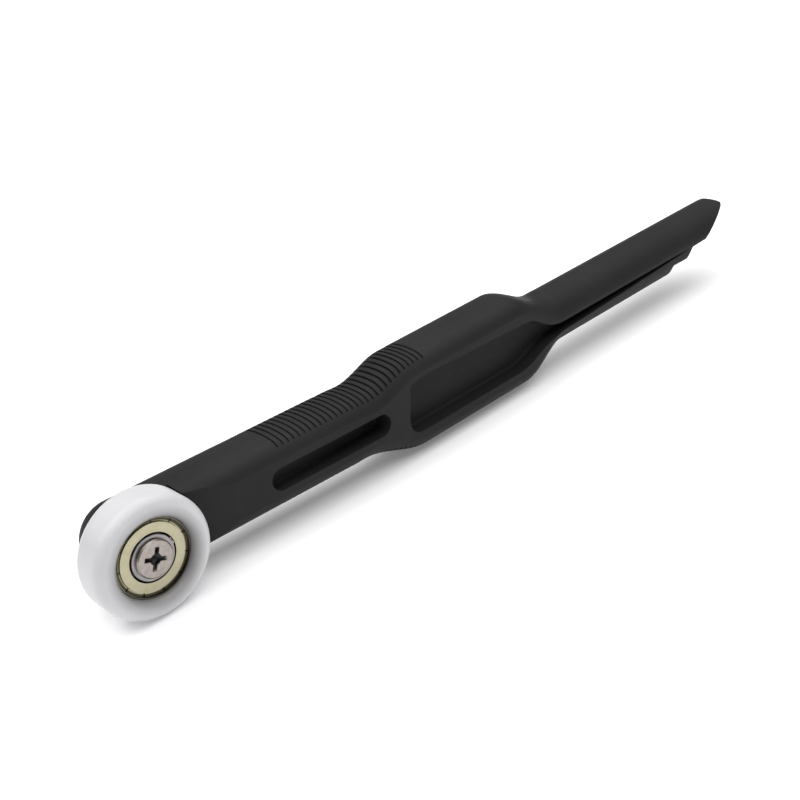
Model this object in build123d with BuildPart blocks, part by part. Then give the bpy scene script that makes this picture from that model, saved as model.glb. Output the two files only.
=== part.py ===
"""Seam roller: a moulded handle with a free-running nylon wheel on a ball bearing.

Millimetres, +Z up. The origin is the centre of the wheel. +X runs along the handle from the
wheel to the stepped blade tip, +Y runs along the axle from the wheel towards the head of the
handle, and the tool stands on edge, with its flat sides upright.
"""

import os
from math import cos, radians, sin, tan

from build123d import *

os.makedirs("parts", exist_ok=True)

# ---- Driving dimensions -------------------------------------------------------------------

# Ball bearing, 10 x 26 x 8, with two pressed shields
bore_radius = 5.0
bearing_radius = 13.0
bearing_width = 8.0
ball_count = 7
ball_radius = 4.762 / 2
pitch_radius = 9.0
inner_land_radius = 7.4                 # shoulder of the inner ring
outer_land_radius = 10.9                # shoulder of the outer ring
race_gap = 0.01                         # running gap between a ball and each raceway
sheet = 0.3                             # steel sheet of cage and shields

shield_bore = 8.0
shield_rim = 11.05                      # where the flat of a shield bends down to its crimped rim
shield_seat_radius = 12.45              # step in the outer ring that holds a shield
shield_depth = 0.35                     # shield face below the bearing face
shield_drop = 0.55                      # crimped rim below the shield face
slit_count = 11
cage_gap = 0.08                         # between a ball and its pocket
cage_half_band = 0.8
rivet_radius = 0.35

# Wheel
wheel_radius = 19.8
wheel_width = 13.8
bearing_inset = 2.7                     # front face of the bearing behind the front of the wheel
front_round = 4.0
back_round = 2.8
wheel_clearance = 0.5                   # round the wheel, in the well of the handle

# Handle, at stations along X
grip_width = 22.0
grip_near = -5.2                        # near flat side of the palm
tip_x = 293.8
crown_rise = 2.1                        # of the crown and the underside, across the width
grip_corner = 6.5                       # corner radius between side and crown
wide_corner = 8.2                       # the same where the neck swells into the palm
wide_spans = ((78.0, 98.0), (98.0, 113.0))
swell_span = (78.0, 113.0)              # all changes from neck to palm lie between these stations
swell_steps = 10
blade_corner = 9.4
blade_span = (160.0, 187.0)             # all changes from palm to blade lie between these
blade_steps = 8
side_trim = 0.2                         # planed off both sides, which leaves a crisp edge
neck_bend_x = 90.0                      # the neck leans towards +Y from here to the head
neck_lean = 0.06
head_far = 22.0                         # far side of the head, planed flat
end_rise = 0.05                         # the turned end of the head stands this much proud
ramp_start_x = 32.0                     # the near side falls back towards the wheel from here
ramp_angle = 13.5

# Lines along the handle: heights at neck, palm and blade, and the stations of both changes
crown_line = ((12.5, 17.05, 9.1), (88.0, 107.0), (160.0, 181.0))
underside_line = ((-11.3, -18.2, -10.1), (84.0, 110.0), (163.0, 184.0))

# Recesses in both sides of the handle
web = 9.0                               # thickness left between two opposite recesses
slot_ends = (46.0, 94.5)
slot_half = 4.0
slot_z = 0.4
pocket_start_x = 103.0
pocket_end_x = 163.0                    # the pocket narrows from here to the groove
pocket_low = -10.0
pocket_high = (9.9, 7.9)                # height of its upper wall at the start and at the end
groove_top = 0.3                        # edges of the groove where it leaves the pocket
groove_low = -3.4
groove_end_x = 262.0                    # the groove tapers out along the blade to here
recess_round = 1.2                      # radius where the walls meet the floor

# Stepped blade tip: foot of each step along X, and its height
tip_steps = ((251.5, -3.5), (263.0, 0.0))
tip_rise = ((274.0, 0.2), (281.3, 4.0), (292.0, 7.9))

# Ribbed grip
rib_start_x = 51.2
rib_pitch = 2.15
rib_count = 29
rib_gap = 0.9                           # width of a groove between two ribs
rib_depth = 0.5
rib_reach = 9.0                         # half width of the ribbed band

# Axle screw and its insert
screw_radius = 2.5
screw_head_radius = 6.2
screw_head_height = 1.2
screw_length = 15.0
insert_radius = 3.5
insert_length = 11.0
shoulder_radius = 7.2                   # boss behind the inner ring

# ---- Places that follow from them ---------------------------------------------------------

wheel_front = -wheel_width / 2
wheel_back = wheel_width / 2
bearing_front = wheel_front + bearing_inset
bearing_back = bearing_front + bearing_width
bearing_middle = (bearing_front + bearing_back) / 2

grip_middle = grip_near + grip_width / 2
half_width = grip_width / 2
rough_half = half_width + side_trim     # half the width before the sides are planed
crown_radius = (rough_half**2 + crown_rise**2) / (2 * crown_rise)
pocket_mouth_x = blade_span[1] + 3      # where the pocket opens into the blade groove
head_face = wheel_back + 1.0            # the face of the head behind the wheel
insert_front = bearing_front + 0.2      # the boss and its insert end just short of the screw head


def finish(builder, name):
    """Label a finished piece and write its STEP file."""
    builder.part.label = name
    export_step(builder.part, f"parts/{name}.step")


def upright(y):
    """Plane across the axle at y, with X to the right and Z up, facing -Y."""
    return Plane((0, y, 0), x_dir=(1, 0, 0), z_dir=(0, -1, 0))


# ---- Handle -------------------------------------------------------------------------------


def ease(x, span):
    """Smooth step from 0 at the start of a span to 1 at its end."""
    start, end = span
    t = min(max((x - start) / (end - start), 0), 1)
    return t * t * (3 - 2 * t)


def height(line, x):
    """Height of one of the lines along the handle at a station."""
    (neck, palm, blade), rise, fall = line
    return neck + (palm - neck) * ease(x, rise) + (blade - palm) * ease(x, fall)


def middle_y(x):
    """Middle of the handle's width, which leans away behind the wheel."""
    return grip_middle + neck_lean * max(neck_bend_x - x, 0)


def corner_radius(x):
    """Radius between side and crown at a station."""
    grows, shrinks = wide_spans
    swell = ease(x, grows) * (1 - ease(x, shrinks))
    on_blade = ease(x, blade_span)
    return grip_corner + (wide_corner - grip_corner) * swell + (blade_corner - grip_corner) * on_blade


def across(x):
    """Plane across the handle at a station, with Y to the right and Z up."""
    return Plane((x, middle_y(x), 0), x_dir=(0, 1, 0), z_dir=(1, 0, 0))


def section(x, inset=0.0):
    """Rounded outline across the handle at a station, or one that lies inside it by an inset."""
    half = rough_half - inset
    crown = height(crown_line, x) - inset
    underside = height(underside_line, x) + inset
    high = crown - crown_rise
    low = underside + crown_rise
    with BuildSketch() as outline:
        with BuildLine():
            Line((half, low), (half, high))
            ThreePointArc((half, high), (0, crown), (-half, high))
            Line((-half, high), (-half, low))
            ThreePointArc((-half, low), (0, underside), (half, low))
        make_face()
        fillet(outline.vertices(), corner_radius(x) - inset)
    return outline.sketch


def crowned_body():
    """The handle before any recess: straight neck, palm and blade, which lofted changes join, with
    both sides planed."""
    start_x = -crown_line[0][0] - 4
    end_x = tip_x + 5
    ends = (start_x, *swell_span, *blade_span, tip_x)
    steps = (1, swell_steps, 1, blade_steps, 1)
    with BuildPart() as body:
        for first, last, count in zip(ends[:-1], ends[1:], steps):
            for i in range(count + 1):
                x = first + (last - first) * i / count
                with BuildSketch(across(x)):
                    add(section(x))
            loft()
        for side in (-1, 1):
            palm_y = grip_middle + side * half_width
            outer_y = grip_middle + side * 2 * grip_width
            with BuildSketch(Plane.XY):
                with BuildLine():
                    Polyline(
                        (start_x - 1, middle_y(start_x - 1) + side * half_width),
                        (neck_bend_x, palm_y),
                        (end_x, palm_y),
                        (end_x, outer_y),
                        (start_x - 1, outer_y),
                        close=True,
                    )
                make_face()
            extrude(amount=2 * grip_width, both=True, mode=Mode.SUBTRACT)
    return body.part


def head_cutter():
    """What is cut from the head: the ramp, the well that the wheel turns in, and the end, which
    is the crown's own curve turned about the axle."""
    near_y = middle_y(ramp_start_x) - half_width
    slope = tan(radians(ramp_angle))
    ramp_end_x = ramp_start_x - (head_face - near_y) / slope
    far = 60
    crown = crown_line[0][0] + end_rise
    corner = crown - crown_rise
    head_middle = middle_y(0)
    side_y = head_middle + rough_half
    with BuildPart() as kept_end:
        with BuildSketch(Plane.XY) as profile:
            with BuildLine():
                Polyline((0, -far), (crown, -far), (crown, head_middle))
                RadiusArc((crown, head_middle), (corner, side_y), -crown_radius)
                Polyline((corner, side_y), (0, side_y), (0, -far))
            make_face()
            fillet(profile.vertices().group_by(Axis.Y)[-1].sort_by(Axis.X)[-1], grip_corner)
        revolve(axis=Axis.Y)
    with BuildPart() as cutter:
        with Locations((-far / 2, 0, 0)):
            Box(far, 2 * far, 2 * far)
        add(kept_end.part, mode=Mode.SUBTRACT)
        with Locations((0, head_far + far / 2, 0)):
            Box(far, far, far)
        with BuildSketch(Plane.XY):
            with BuildLine():
                Polyline(
                    (ramp_start_x + 10, near_y - 10 * slope),
                    (ramp_end_x, head_face),
                    (-far, head_face),
                    (-far, -far),
                    (ramp_start_x + 10, -far),
                    close=True,
                )
            make_face()
        extrude(amount=far, both=True)
        with BuildSketch(upright(head_face)):
            Circle(wheel_radius + wheel_clearance)
        extrude(amount=far)
    return cutter.part


def slot_cutter(side):
    """One blind slot of the neck; side is -1 for the near face and 1 for the far face."""
    middle_x = sum(slot_ends) / 2
    floor_y = middle_y(middle_x) + side * web / 2
    with BuildPart() as cutter:
        with BuildSketch(Plane((middle_x, floor_y, slot_z), x_dir=(1, 0, 0), z_dir=(0, side, 0))):
            SlotOverall(slot_ends[1] - slot_ends[0], 2 * slot_half)
        extrude(amount=grip_width)
        fillet(cutter.faces().sort_by(Axis.Y)[0 if side > 0 else -1].edges(), recess_round)
    return cutter.part


def pocket_cutter(side):
    """The palm pocket in one side, which narrows towards the blade groove."""
    floor_y = grip_middle + side * web / 2
    start = pocket_start_x
    end = pocket_end_x
    mouth = pocket_mouth_x
    first_high, last_high = pocket_high
    with BuildPart() as cutter:
        with BuildSketch(upright(floor_y)):
            with BuildLine():
                Spline(
                    (start + 6, pocket_low),
                    (start, -2.5),
                    (start + 1.6, 4.5),
                    (start + 12, first_high),
                    tangents=((-1, 0), (1, 0)),
                )
                Line((start + 12, first_high), (end, last_high))
                Spline((end, last_high), (end + 7, 5.4), (mouth - 6, groove_top), tangents=((1, 0), (1, 0)))
                Polyline((mouth - 6, groove_top), (mouth, groove_top), (mouth, groove_low))
                Spline(
                    (mouth, groove_low),
                    (end + 8.5, -6.1),
                    (end - 6, pocket_low),
                    tangents=((-1, 0), (-1, 0)),
                )
                Line((end - 6, pocket_low), (start + 6, pocket_low))
            make_face()
        extrude(amount=-side * grip_width)
        floor = cutter.faces().sort_by(Axis.Y)[0 if side > 0 else -1]
        fillet(floor.edges().sort_by(Axis.X)[:-1], recess_round)
    return cutter.part


def blade_groove_cutter(side):
    """The groove from the pocket along the blade, which tapers out towards the tip."""
    floor_y = grip_middle + side * web / 2
    face_y = grip_middle + side * half_width
    outer_y = face_y + side * 5
    start_x = pocket_mouth_x - 1
    with BuildPart() as cutter:
        with BuildSketch(upright(face_y)):
            with BuildLine():
                Polyline(
                    (start_x, groove_low),
                    (start_x, groove_top),
                    (groove_end_x + 2, groove_top),
                    (groove_end_x + 2, groove_top - 0.4),
                    close=True,
                )
            make_face()
        extrude(amount=grip_width, both=True)
        with BuildSketch(Plane.XY):
            with BuildLine():
                Polyline(
                    (start_x, floor_y),
                    (groove_end_x, face_y),
                    (groove_end_x, outer_y),
                    (start_x, outer_y),
                    close=True,
                )
            make_face()
        extrude(amount=grip_width, both=True, mode=Mode.INTERSECT)
    return cutter.part


def tip_cutter():
    """What is cut below the blade tip: two steps and the long rise to the edge."""
    bottom = underside_line[0][2] - 5
    past_end = 5
    (first_x, first_z), (second_x, second_z) = tip_steps
    rise_start, rise_middle, rise_end = tip_rise
    past_slope = (rise_end[1] - rise_middle[1]) / (rise_end[0] - rise_middle[0])
    with BuildPart() as cutter:
        with BuildSketch(upright(grip_middle)) as side_view:
            with BuildLine():
                Polyline(
                    (first_x, bottom),
                    (first_x, first_z),
                    (second_x - 2, first_z - 0.3),
                    (second_x + 2, second_z),
                    rise_start,
                )
                ThreePointArc(rise_start, rise_middle, rise_end)
                Polyline(
                    rise_end,
                    (tip_x + past_end, rise_end[1] + past_slope * (tip_x + past_end - rise_end[0])),
                    (tip_x + past_end, bottom),
                    (first_x, bottom),
                )
            make_face()
            steps = side_view.vertices().filter_by_position(Axis.X, first_x - 1, rise_start[0] + 1)
            fillet(steps.filter_by_position(Axis.Z, bottom + 1, tip_x), 1.2)
        extrude(amount=grip_width, both=True)
    return cutter.part


def rib_cutter():
    """The grooves between the ribs, over the crown and under it, all of one depth."""
    with BuildPart() as grooves:
        for i in range(rib_count + 1):
            x = rib_start_x + i * rib_pitch
            with BuildSketch(across(x)):
                Rectangle(2 * rib_reach, 3 * grip_width)
                add(section(x, inset=rib_depth), mode=Mode.SUBTRACT)
            extrude(amount=rib_gap)
    return grooves.part


def handle():
    """The moulded handle, with the boss that the bearing sits on."""
    with BuildPart() as piece:
        add(crowned_body())
        add(head_cutter(), mode=Mode.SUBTRACT)
        for side in (-1, 1):
            add(slot_cutter(side), mode=Mode.SUBTRACT)
            add(pocket_cutter(side), mode=Mode.SUBTRACT)
            add(blade_groove_cutter(side), mode=Mode.SUBTRACT)
        add(tip_cutter(), mode=Mode.SUBTRACT)
        add(rib_cutter(), mode=Mode.SUBTRACT)
        with BuildSketch(upright(head_face)):
            Circle(shoulder_radius)
        extrude(amount=head_face - bearing_back)
        with BuildSketch(upright(bearing_back)):
            Circle(bore_radius - 0.02)
        extrude(amount=bearing_back - insert_front)
        with BuildSketch(upright(insert_front + insert_length)):
            Circle(insert_radius)
        extrude(amount=insert_length, mode=Mode.SUBTRACT)
        with BuildSketch(upright(bearing_front + screw_length + 1)):
            Circle(screw_radius + 0.3)
        extrude(amount=screw_length, mode=Mode.SUBTRACT)
    finish(piece, "handle")


# ---- Wheel --------------------------------------------------------------------------------


def roller_wheel():
    """The nylon wheel, with the bearing pressed in from the front against a rear lip."""
    lip_radius = bearing_radius - 1.1
    lip_back = bearing_back + 1.0
    front_crest = wheel_radius - front_round
    back_crest = wheel_radius - back_round
    with BuildPart() as piece:
        with BuildSketch(Plane.XY):
            with BuildLine():
                Line((bearing_radius, bearing_front), (bearing_radius, bearing_back))
                Line((bearing_radius, bearing_back), (lip_radius, bearing_back))
                Line((lip_radius, bearing_back), (lip_radius, lip_back))
                TangentArc((back_crest, wheel_back), (lip_radius, lip_back), tangent=(-1, 0))
                RadiusArc((back_crest, wheel_back), (wheel_radius, wheel_back - back_round), back_round)
                Line((wheel_radius, wheel_back - back_round), (wheel_radius, wheel_front + front_round))
                RadiusArc((wheel_radius, wheel_front + front_round), (front_crest, wheel_front), front_round)
                TangentArc((front_crest, wheel_front), (bearing_radius, bearing_front), tangent=(-1, 0))
            make_face()
        revolve(axis=Axis.Y)
    finish(piece, "roller_wheel")


# ---- Ball bearing -------------------------------------------------------------------------


def raceway():
    """Groove that the balls run in, cut from the profile of a ring."""
    with Locations((pitch_radius, bearing_middle)):
        Circle(ball_radius + race_gap, mode=Mode.SUBTRACT)


def bearing_inner_ring():
    """The ring that the screw clamps on the boss."""
    with BuildPart() as piece:
        with BuildSketch(Plane.XY) as profile:
            with Locations(((bore_radius + inner_land_radius) / 2, bearing_middle)):
                Rectangle(inner_land_radius - bore_radius, bearing_width)
            fillet(profile.vertices(), 0.3)
            raceway()
        revolve(axis=Axis.Y)
    finish(piece, "bearing_inner_ring")


def bearing_outer_ring():
    """The ring that is pressed into the wheel, with a step for a shield in each face."""
    step_depth = shield_depth + shield_drop + sheet
    with BuildPart() as piece:
        with BuildSketch(Plane.XY) as profile:
            with Locations(((outer_land_radius + bearing_radius) / 2, bearing_middle)):
                Rectangle(bearing_radius - outer_land_radius, bearing_width)
            fillet(profile.vertices().group_by(Axis.X)[-1], 0.3)
            for end in (-1, 1):
                step_y = bearing_middle + end * (bearing_width - step_depth) / 2
                with Locations(((outer_land_radius + shield_seat_radius) / 2, step_y)):
                    Rectangle(shield_seat_radius - outer_land_radius, step_depth, mode=Mode.SUBTRACT)
            raceway()
        revolve(axis=Axis.Y)
    finish(piece, "bearing_outer_ring")


def around_axle(radius, count, first=0.0):
    """Evenly spaced points round the axle, in the middle plane of the bearing."""
    for i in range(count):
        angle = radians(first + 360 * i / count)
        yield radius * cos(angle), bearing_middle, radius * sin(angle)


def bearing_balls():
    """The balls, one node each."""
    for i, place in enumerate(around_axle(pitch_radius, ball_count), start=1):
        with BuildPart() as piece:
            with Locations(place):
                Sphere(ball_radius)
        finish(piece, f"bearing_ball_{i}")


def rivet_places():
    """Places of the cage rivets, halfway between the balls."""
    return list(around_axle(pitch_radius, ball_count, first=180 / ball_count))


def cage_half(name, mirrored):
    """One pressed half of the cage: flat webs between arched pockets that hold the balls."""
    arch_radius = ball_radius + cage_gap + sheet
    places = around_axle(pitch_radius, ball_count)
    radial_planes = [Plane(place, z_dir=(place[0], 0, place[2])) for place in places]
    with BuildPart() as piece:
        with Locations(*radial_planes):
            Cylinder(arch_radius, 4 * cage_half_band)
        with BuildSketch(Plane.XY):
            with Locations((pitch_radius, bearing_middle + arch_radius)):
                Rectangle(2 * cage_half_band, 2 * arch_radius)
        revolve(axis=Axis.Y, mode=Mode.INTERSECT)
        with BuildSketch(Plane.XY):
            with Locations((pitch_radius, bearing_middle + sheet / 2)):
                Rectangle(2 * cage_half_band, sheet)
        revolve(axis=Axis.Y)
        with Locations(*radial_planes):
            Cylinder(ball_radius + cage_gap, 4 * cage_half_band, mode=Mode.SUBTRACT)
        for place in rivet_places():
            with Locations(Location(place, (90, 0, 0))):
                Cylinder(rivet_radius, 4 * sheet, mode=Mode.SUBTRACT)
        if mirrored:
            mirror(about=upright(bearing_middle), mode=Mode.REPLACE)
    finish(piece, name)


def cage_rivets():
    """The rivets that join the two halves, one node each."""
    for i, place in enumerate(rivet_places(), start=1):
        with BuildPart() as piece:
            with Locations(Location(place, (90, 0, 0))):
                Cylinder(rivet_radius, 2 * sheet)
            for side in (-1, 1):
                head = (place[0], place[1] + side * (sheet + 0.1), place[2])
                with Locations(Location(head, (90, 0, 0))):
                    Cylinder(rivet_radius + 0.2, 0.2)
        finish(piece, f"cage_rivet_{i}")


def bearing_shield(name, side):
    """A pressed shield: a flat ring that bends down to a crimped rim, which is slit all round."""
    outer_y = bearing_middle + side * (bearing_width / 2 - shield_depth)
    inner_y = outer_y - side * sheet
    rim_y = outer_y - side * shield_drop
    low_y = rim_y - side * sheet
    rim_end = shield_seat_radius - 0.02
    bend = 0.2
    with BuildPart() as piece:
        with BuildSketch(Plane.XY):
            Polygon(
                (shield_bore, inner_y),
                (shield_bore, outer_y),
                (shield_rim, outer_y),
                (shield_rim + bend, rim_y),
                (rim_end, rim_y + side * bend),
                (rim_end, low_y),
                (shield_rim - bend, low_y),
                (shield_rim - 2 * bend, inner_y),
                align=None,
            )
        revolve(axis=Axis.Y)
        with BuildSketch(upright(bearing_middle)):
            with PolarLocations((shield_rim + shield_seat_radius) / 2 + 0.3, slit_count, start_angle=12):
                Rectangle(1.6, 0.5)
        extrude(amount=bearing_width, both=True, mode=Mode.SUBTRACT)
    finish(piece, name)


# ---- Axle screw and insert ----------------------------------------------------------------


def axle_screw():
    """Cross-head machine screw whose broad head clamps the inner ring."""
    head_front = bearing_front - screw_head_height
    recess_radius = 3.9
    core_radius = 1.9
    recess_depth = 2.4
    arm_width = 1.5
    arm_angle = -22
    with BuildPart() as recess:
        with BuildSketch(upright(head_front)):
            for turn in (arm_angle, arm_angle + 90):
                Rectangle(2 * recess_radius, arm_width, rotation=turn)
            Circle(core_radius)
        extrude(amount=-recess_depth)
        with Locations(Location((0, head_front + recess_depth / 2, 0), (-90, 0, 0))):
            Cone(recess_radius, 1.2, recess_depth, mode=Mode.INTERSECT)
    with BuildPart() as piece:
        with BuildSketch(upright(bearing_front)):
            Circle(screw_head_radius)
        extrude(amount=screw_head_height)
        chamfer(piece.edges().sort_by(Axis.Y)[0], 0.45)
        with BuildSketch(upright(bearing_front + screw_length)):
            Circle(screw_radius)
        extrude(amount=screw_length)
        add(recess.part, mode=Mode.SUBTRACT)
    finish(piece, "axle_screw")


def threaded_insert():
    """Brass insert in the boss, with two collars that key it into the plastic."""
    collar = 0.4
    with BuildPart() as piece:
        with BuildSketch(Plane.XY):
            middle = insert_front + insert_length / 2
            with Locations(((screw_radius + insert_radius) / 2, middle)):
                Rectangle(insert_radius - screw_radius, insert_length)
            with Locations((insert_radius, middle - 2.4), (insert_radius, middle + 2.4)):
                Rectangle(2 * collar, 1.6, mode=Mode.SUBTRACT)
        revolve(axis=Axis.Y)
    finish(piece, "threaded_insert")


# ---- All pieces ---------------------------------------------------------------------------

handle()
threaded_insert()
axle_screw()
roller_wheel()
bearing_outer_ring()
bearing_inner_ring()
bearing_balls()
cage_half("cage_front", mirrored=True)
cage_half("cage_back", mirrored=False)
cage_rivets()
bearing_shield("shield_front", -1)
bearing_shield("shield_back", 1)
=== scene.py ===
"""Looks of the seam roller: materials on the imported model, a pale studio floor, lights and the camera."""

import bpy
from mathutils import Matrix, Vector


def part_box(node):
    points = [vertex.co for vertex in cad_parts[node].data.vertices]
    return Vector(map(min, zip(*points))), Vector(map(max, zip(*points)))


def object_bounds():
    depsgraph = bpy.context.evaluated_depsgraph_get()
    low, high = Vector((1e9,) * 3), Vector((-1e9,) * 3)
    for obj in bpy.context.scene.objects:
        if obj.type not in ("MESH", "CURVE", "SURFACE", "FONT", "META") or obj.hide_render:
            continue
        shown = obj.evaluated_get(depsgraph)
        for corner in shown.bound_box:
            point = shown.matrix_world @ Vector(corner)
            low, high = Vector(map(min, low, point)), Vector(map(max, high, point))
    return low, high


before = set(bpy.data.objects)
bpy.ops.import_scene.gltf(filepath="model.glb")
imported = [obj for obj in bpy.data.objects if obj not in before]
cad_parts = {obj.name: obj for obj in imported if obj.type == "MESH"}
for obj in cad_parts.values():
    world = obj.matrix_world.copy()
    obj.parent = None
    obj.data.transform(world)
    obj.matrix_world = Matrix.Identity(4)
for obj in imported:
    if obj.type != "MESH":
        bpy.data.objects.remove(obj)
cad_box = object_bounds()

bpy.context.scene.view_settings.view_transform = "Standard"


# ---- Node helpers -------------------------------------------------------------------------


class Shader:
    """A material's node tree, with short calls to add and join nodes."""

    def __init__(self, name):
        self.material = bpy.data.materials.new(name)
        self.material.use_nodes = True
        self.tree = self.material.node_tree
        self.surface = self.tree.nodes["Principled BSDF"]

    @classmethod
    def of(cls, material):
        """The same calls for a material that is already there."""
        made = cls.__new__(cls)
        made.material = material
        made.tree = material.node_tree
        made.surface = made.tree.nodes["Principled BSDF"]
        return made

    def node(self, kind, **settings):
        """Adds a node. Settings with an underscore prefix are attributes, the rest input sockets."""
        made = self.tree.nodes.new(kind)
        for key, value in settings.items():
            if key.startswith("_"):
                setattr(made, key[1:], value)
            else:
                made.inputs[key.replace("_", " ")].default_value = value
        return made

    def join(self, source, target):
        """Joins an output socket to an input socket."""
        self.tree.links.new(source, target)

    def place(self):
        """Object coordinates in metres, the same on every part."""
        return self.node("ShaderNodeTexCoord").outputs["Object"]

    def axle_radius(self):
        """Distance from the axle, in metres."""
        separate = self.node("ShaderNodeSeparateXYZ")
        self.join(self.place(), separate.inputs["Vector"])
        square_x = self.node("ShaderNodeMath", _operation="MULTIPLY")
        self.join(separate.outputs["X"], square_x.inputs[0])
        self.join(separate.outputs["X"], square_x.inputs[1])
        squares = self.node("ShaderNodeMath", _operation="MULTIPLY_ADD")
        self.join(separate.outputs["Z"], squares.inputs[0])
        self.join(separate.outputs["Z"], squares.inputs[1])
        self.join(square_x.outputs["Value"], squares.inputs[2])
        radius = self.node("ShaderNodeMath", _operation="SQRT")
        self.join(squares.outputs["Value"], radius.inputs[0])
        return radius.outputs["Value"]

    def noise(self, scale, detail=4.0, roughness=0.55, stretch=None):
        """Noise value over the object; scale is in cycles per metre."""
        made = self.node("ShaderNodeTexNoise", Scale=scale, Detail=detail, Roughness=roughness)
        source = self.place()
        if stretch:
            mapping = self.node("ShaderNodeMapping", Scale=stretch)
            self.join(source, mapping.inputs["Vector"])
            source = mapping.outputs["Vector"]
        self.join(source, made.inputs["Vector"])
        return made.outputs["Fac"]

    def ramp(self, source, low, high, start=0.3, end=0.7):
        """Colours from low to high as a value goes from start to end."""
        made = self.node("ShaderNodeValToRGB")
        made.color_ramp.elements[0].position = start
        made.color_ramp.elements[1].position = end
        made.color_ramp.elements[0].color = (*low, 1)
        made.color_ramp.elements[1].color = (*high, 1)
        self.join(source, made.inputs["Fac"])
        return made.outputs["Color"]

    def span(self, source, low, high, start=0.0, end=1.0):
        """A value mapped from start..end to low..high."""
        made = self.node("ShaderNodeMapRange", From_Min=start, From_Max=end, To_Min=low, To_Max=high)
        self.join(source, made.inputs["Value"])
        return made.outputs["Result"]

    def mix(self, factor, first, second):
        """Mix of two colours by a factor socket."""
        made = self.node("ShaderNodeMix", _data_type="RGBA")
        self.join(factor, made.inputs[0])
        for value, socket in ((first, made.inputs[6]), (second, made.inputs[7])):
            if isinstance(value, tuple):
                socket.default_value = (*value, 1)
            else:
                self.join(value, socket)
        return made.outputs[2]

    def bump(self, height, distance, strength=1.0, after=None):
        """Bump from a height socket; distance is in metres."""
        made = self.node("ShaderNodeBump", Distance=distance, Strength=strength)
        self.join(height, made.inputs["Height"])
        if after:
            self.join(after, made.inputs["Normal"])
        return made.outputs["Normal"]

    def set(self, **values):
        """Sets inputs of the surface shader: plain values, or sockets to join."""
        for key, value in values.items():
            socket = self.surface.inputs[key.replace("_", " ")]
            if isinstance(value, bpy.types.NodeSocket):
                self.join(value, socket)
            else:
                socket.default_value = value


# ---- Materials ----------------------------------------------------------------------------


def moulded_black():
    """Satin black glass-filled nylon: fine spark-eroded grain, with slow changes in colour."""
    s = Shader("moulded_black")
    cloud = s.noise(28.0, detail=3.0)
    grain = s.noise(5200.0, detail=2.0)
    fibres = s.noise(900.0, detail=5.0, stretch=(0.3, 1.0, 1.0))
    colour = s.ramp(cloud, (0.0165, 0.0165, 0.0167), (0.0205, 0.0205, 0.0206))
    rough = s.span(fibres, 0.46, 0.56, 0.3, 0.7)
    normal = s.bump(grain, 0.00003, 0.5)
    normal = s.bump(fibres, 0.00004, 0.35, after=normal)
    s.set(Base_Color=colour, Roughness=rough, Normal=normal, IOR=1.5, Specular_IOR_Level=0.09)
    return s.material


def white_nylon():
    """White nylon: slightly translucent and smooth, with painted shade greying it next to the bearing."""
    s = Shader("white_nylon")
    cloud = s.noise(60.0, detail=3.0)
    colour = s.ramp(cloud, (0.535, 0.530, 0.545), (0.595, 0.590, 0.604))
    # painted shade: dark grey at the bearing's edge, fading to the nylon colour a few millimetres out
    hub_painted_shade = s.span(s.axle_radius(), 0.0, 1.0, HUB_SHADE_EDGE, HUB_SHADE_EDGE + HUB_SHADE_FADE)
    colour = s.mix(hub_painted_shade, (0.20, 0.196, 0.196), colour)
    fine = s.noise(1500.0, detail=3.0, stretch=(1.0, 0.15, 1.0))
    s.set(
        Base_Color=colour,
        Roughness=s.span(cloud, 0.32, 0.40, 0.3, 0.7),
        Normal=s.bump(fine, 0.00002, 0.3),
        IOR=1.53,
        Specular_IOR_Level=0.4,
        Subsurface_Weight=0.3,
        Subsurface_Radius=(1.0, 0.95, 0.9),
        Subsurface_Scale=0.003,
    )
    return s.material


def turned_metal(name, low, high, roughness, rings=5200.0, cloud_scale=300.0, anisotropic=0.4, dark=None):
    """Metal turned or ground about the axle: fine concentric marks and a slow mottle.

    dark is a start radius, an end radius and a colour: painted shade comes in between the two and lies
    beyond.
    """
    s = Shader(name)
    radius = s.axle_radius()
    marks = s.node("ShaderNodeTexNoise", _noise_dimensions="1D", Scale=rings, Detail=3.0, Roughness=0.6)
    s.join(radius, marks.inputs["W"])
    cloud = s.noise(cloud_scale, detail=4.0)
    colour = s.ramp(cloud, low, high)
    if dark:
        start, end, crimp_shade = dark
        # painted shade: the dark colour from the start radius outward
        colour = s.mix(s.span(radius, 0.0, 1.0, start, end), colour, crimp_shade)
    normal = s.bump(marks.outputs["Fac"], 0.00001, 0.5)
    s.set(
        Base_Color=colour,
        Metallic=1.0,
        Roughness=s.span(marks.outputs["Fac"], roughness - 0.05, roughness + 0.08, 0.3, 0.7),
        Normal=normal,
        Anisotropic=anisotropic,
    )
    return s.material


def screw_nickel():
    """Nickelled screw: brushed head, with the cross recess near black, partly painted shade and partly black
    grease.
    """
    low = (0.26, 0.232, 0.213)
    high = (0.35, 0.312, 0.284)
    material = turned_metal("screw_nickel", low, high, 0.30, 2600.0, 700.0)
    s = Shader.of(material)
    separate = s.node("ShaderNodeSeparateXYZ")
    s.join(s.place(), separate.inputs["Vector"])
    # the cross recess goes near black and stops being metal: partly painted shade, partly grease
    depth = s.span(separate.outputs["Y"], 0.0, 1.0, SCREW_FACE + GREASE_AND_SHADE_START, SCREW_FACE + GREASE_AND_SHADE_FULL)
    inside = s.span(s.axle_radius(), 1.0, 0.0, RECESS_REACH, RECESS_REACH + SOFT_EDGE)
    grease_and_painted_shade = s.node("ShaderNodeMath", _operation="MULTIPLY")
    s.join(depth, grease_and_painted_shade.inputs[0])
    s.join(inside, grease_and_painted_shade.inputs[1])
    bare = s.surface.inputs["Base Color"].links[0].from_socket
    s.set(Base_Color=s.mix(grease_and_painted_shade.outputs["Value"], bare, (0.012, 0.011, 0.010)))
    s.set(Metallic=s.span(grease_and_painted_shade.outputs["Value"], 1.0, 0.0))
    return s.material
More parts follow.
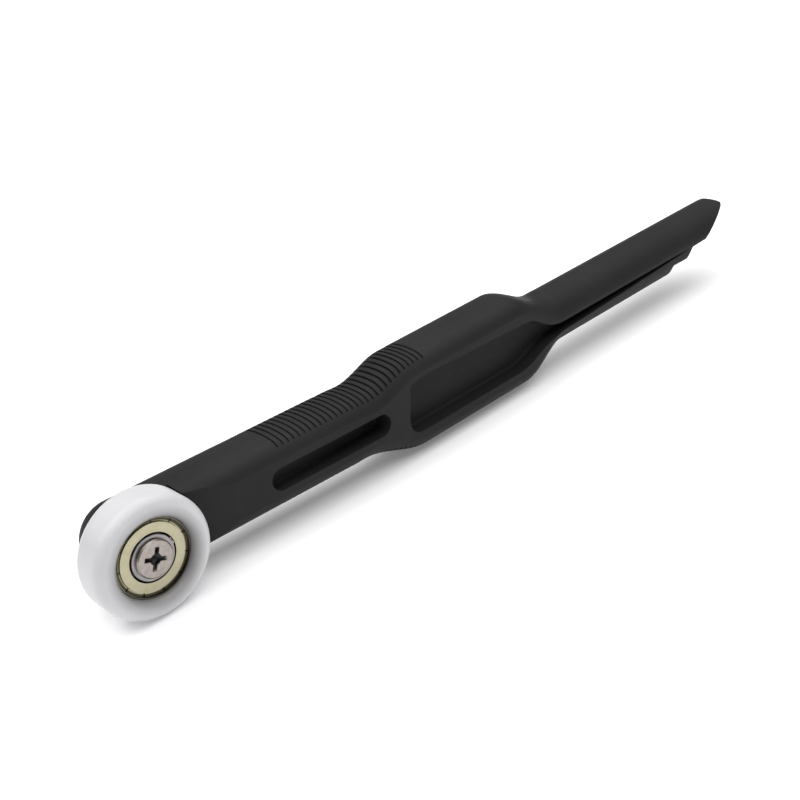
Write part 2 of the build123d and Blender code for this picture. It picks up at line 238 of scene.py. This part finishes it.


# Places on the wheel, measured from the axle or along it
# where the painted shade around the bearing starts, and how far out it fades
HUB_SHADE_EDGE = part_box("bearing_outer_ring")[1][0] - 0.0004
HUB_SHADE_FADE = 0.0046
SCREW_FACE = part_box("axle_screw")[0][1]
RECESS_REACH = 0.66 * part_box("axle_screw")[1][0]
# depths behind the head face where the recess's painted shade and grease start and are full
GREASE_AND_SHADE_START = 0.0001
GREASE_AND_SHADE_FULL = 0.0005
SOFT_EDGE = 0.0002
SHIELD_BEND = 0.913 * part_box("shield_front")[1][0]
# painted shade on the shield's crimped rim, from the bend outward
CRIMP_PAINTED_SHADE = (SHIELD_BEND, SHIELD_BEND + 0.0003, (0.050, 0.044, 0.030))

MATERIALS = {
    "handle": moulded_black(),
    "roller_wheel": white_nylon(),
    "bearing_outer_ring": turned_metal("outer_ring_steel", (0.095, 0.088, 0.075), (0.14, 0.126, 0.105), 0.26),
    "bearing_inner_ring": turned_metal(
        "inner_ring_steel",
        (0.235, 0.226, 0.227),
        (0.305, 0.293, 0.294),
        0.34,
    ),
    "axle_screw": screw_nickel(),
    "threaded_insert": turned_metal("turned_brass", (0.62, 0.44, 0.18), (0.74, 0.55, 0.26), 0.28),
}
SHIELD = turned_metal(
    "zinc_shield",
    (0.36, 0.335, 0.225),
    (0.41, 0.388, 0.275),
    0.34,
    1800.0,
    420.0,
    dark=CRIMP_PAINTED_SHADE,
)
BALL = turned_metal("ball_steel", (0.50, 0.50, 0.50), (0.58, 0.58, 0.58), 0.10, 900.0, 900.0, 0.0)
CAGE = turned_metal("cage_sheet", (0.40, 0.40, 0.39), (0.50, 0.50, 0.49), 0.30, 1500.0, 900.0)

for name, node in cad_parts.items():
    material = MATERIALS.get(name)
    if name.startswith("shield"):
        material = SHIELD
    if name.startswith("bearing_ball"):
        material = BALL
    if name.startswith("cage"):
        material = CAGE
    node.data.materials.clear()
    node.data.materials.append(material)


# ---- Floor --------------------------------------------------------------------------------


def studio_floor():
    """White floor that takes a soft shadow just below the wheel and the palm."""
    gap = 0.0002
    height = cad_box[0][2] - gap
    size = 6.0
    mesh = bpy.data.meshes.new("studio_floor")
    corners = [(x * size, y * size, height) for x, y in ((-1, -1), (1, -1), (1, 1), (-1, 1))]
    mesh.from_pydata(corners, [], [(0, 1, 2, 3)])
    floor = bpy.data.objects.new("studio_floor", mesh)
    bpy.context.scene.collection.objects.link(floor)
    s = Shader("floor_white")
    s.set(Base_Color=s.ramp(s.noise(3.0), (0.90, 0.90, 0.905), (0.92, 0.92, 0.925)), Roughness=0.9)
    s.set(Emission_Color=(0.98, 0.98, 1.0, 1.0), Emission_Strength=0.15)
    mesh.materials.append(s.material)


studio_floor()


# ---- Lights -------------------------------------------------------------------------------


def soft_box(name, place, target, size, power):
    """A square area light aimed at a target."""
    light = bpy.data.lights.new(name, "AREA")
    light.shape = "SQUARE"
    light.size = size
    light.energy = power
    holder = bpy.data.objects.new(name, light)
    bpy.context.scene.collection.objects.link(holder)
    aim = Vector(target) - Vector(place)
    holder.matrix_world = Matrix.Translation(place) @ aim.to_track_quat("-Z", "Y").to_matrix().to_4x4()


under_overhead = (0.35, 0.0, 0.0)
middle = (0.13, 0.0, 0.0)
soft_box("overhead", (0.35, 0.0, 1.8), under_overhead, 3.2, 72.0)
soft_box("key_light", (-0.6, 0.5, 1.0), middle, 0.8, 3.5)

world = bpy.data.worlds.new("studio_world")
world.use_nodes = True
background = world.node_tree.nodes["Background"]
background.inputs["Color"].default_value = (1.0, 1.0, 1.0, 1)
background.inputs["Strength"].default_value = 0.28
bpy.context.scene.world = world


# ---- Camera -------------------------------------------------------------------------------


def product_camera():
    """The camera, to the left of the wheel end and above it, looking along the tool, rolled a little."""
    right = Vector((0.720, -0.680, -0.138)).normalized()
    back = Vector((-0.559, -0.686, 0.465))
    back = (back - right * back.dot(right)).normalized()
    up = back.cross(right)
    place = Vector((-0.1335, -0.2916, 0.2001))
    data = bpy.data.cameras.new("product_camera")
    data.sensor_width = 36.0
    data.lens = 56.4
    data.clip_start = 0.01
    data.clip_end = 50.0
    holder = bpy.data.objects.new("product_camera", data)
    bpy.context.scene.collection.objects.link(holder)
    turn = Matrix((right, up, back)).transposed().to_4x4()
    holder.matrix_world = Matrix.Translation(place) @ turn
    bpy.context.scene.camera = holder


product_camera()
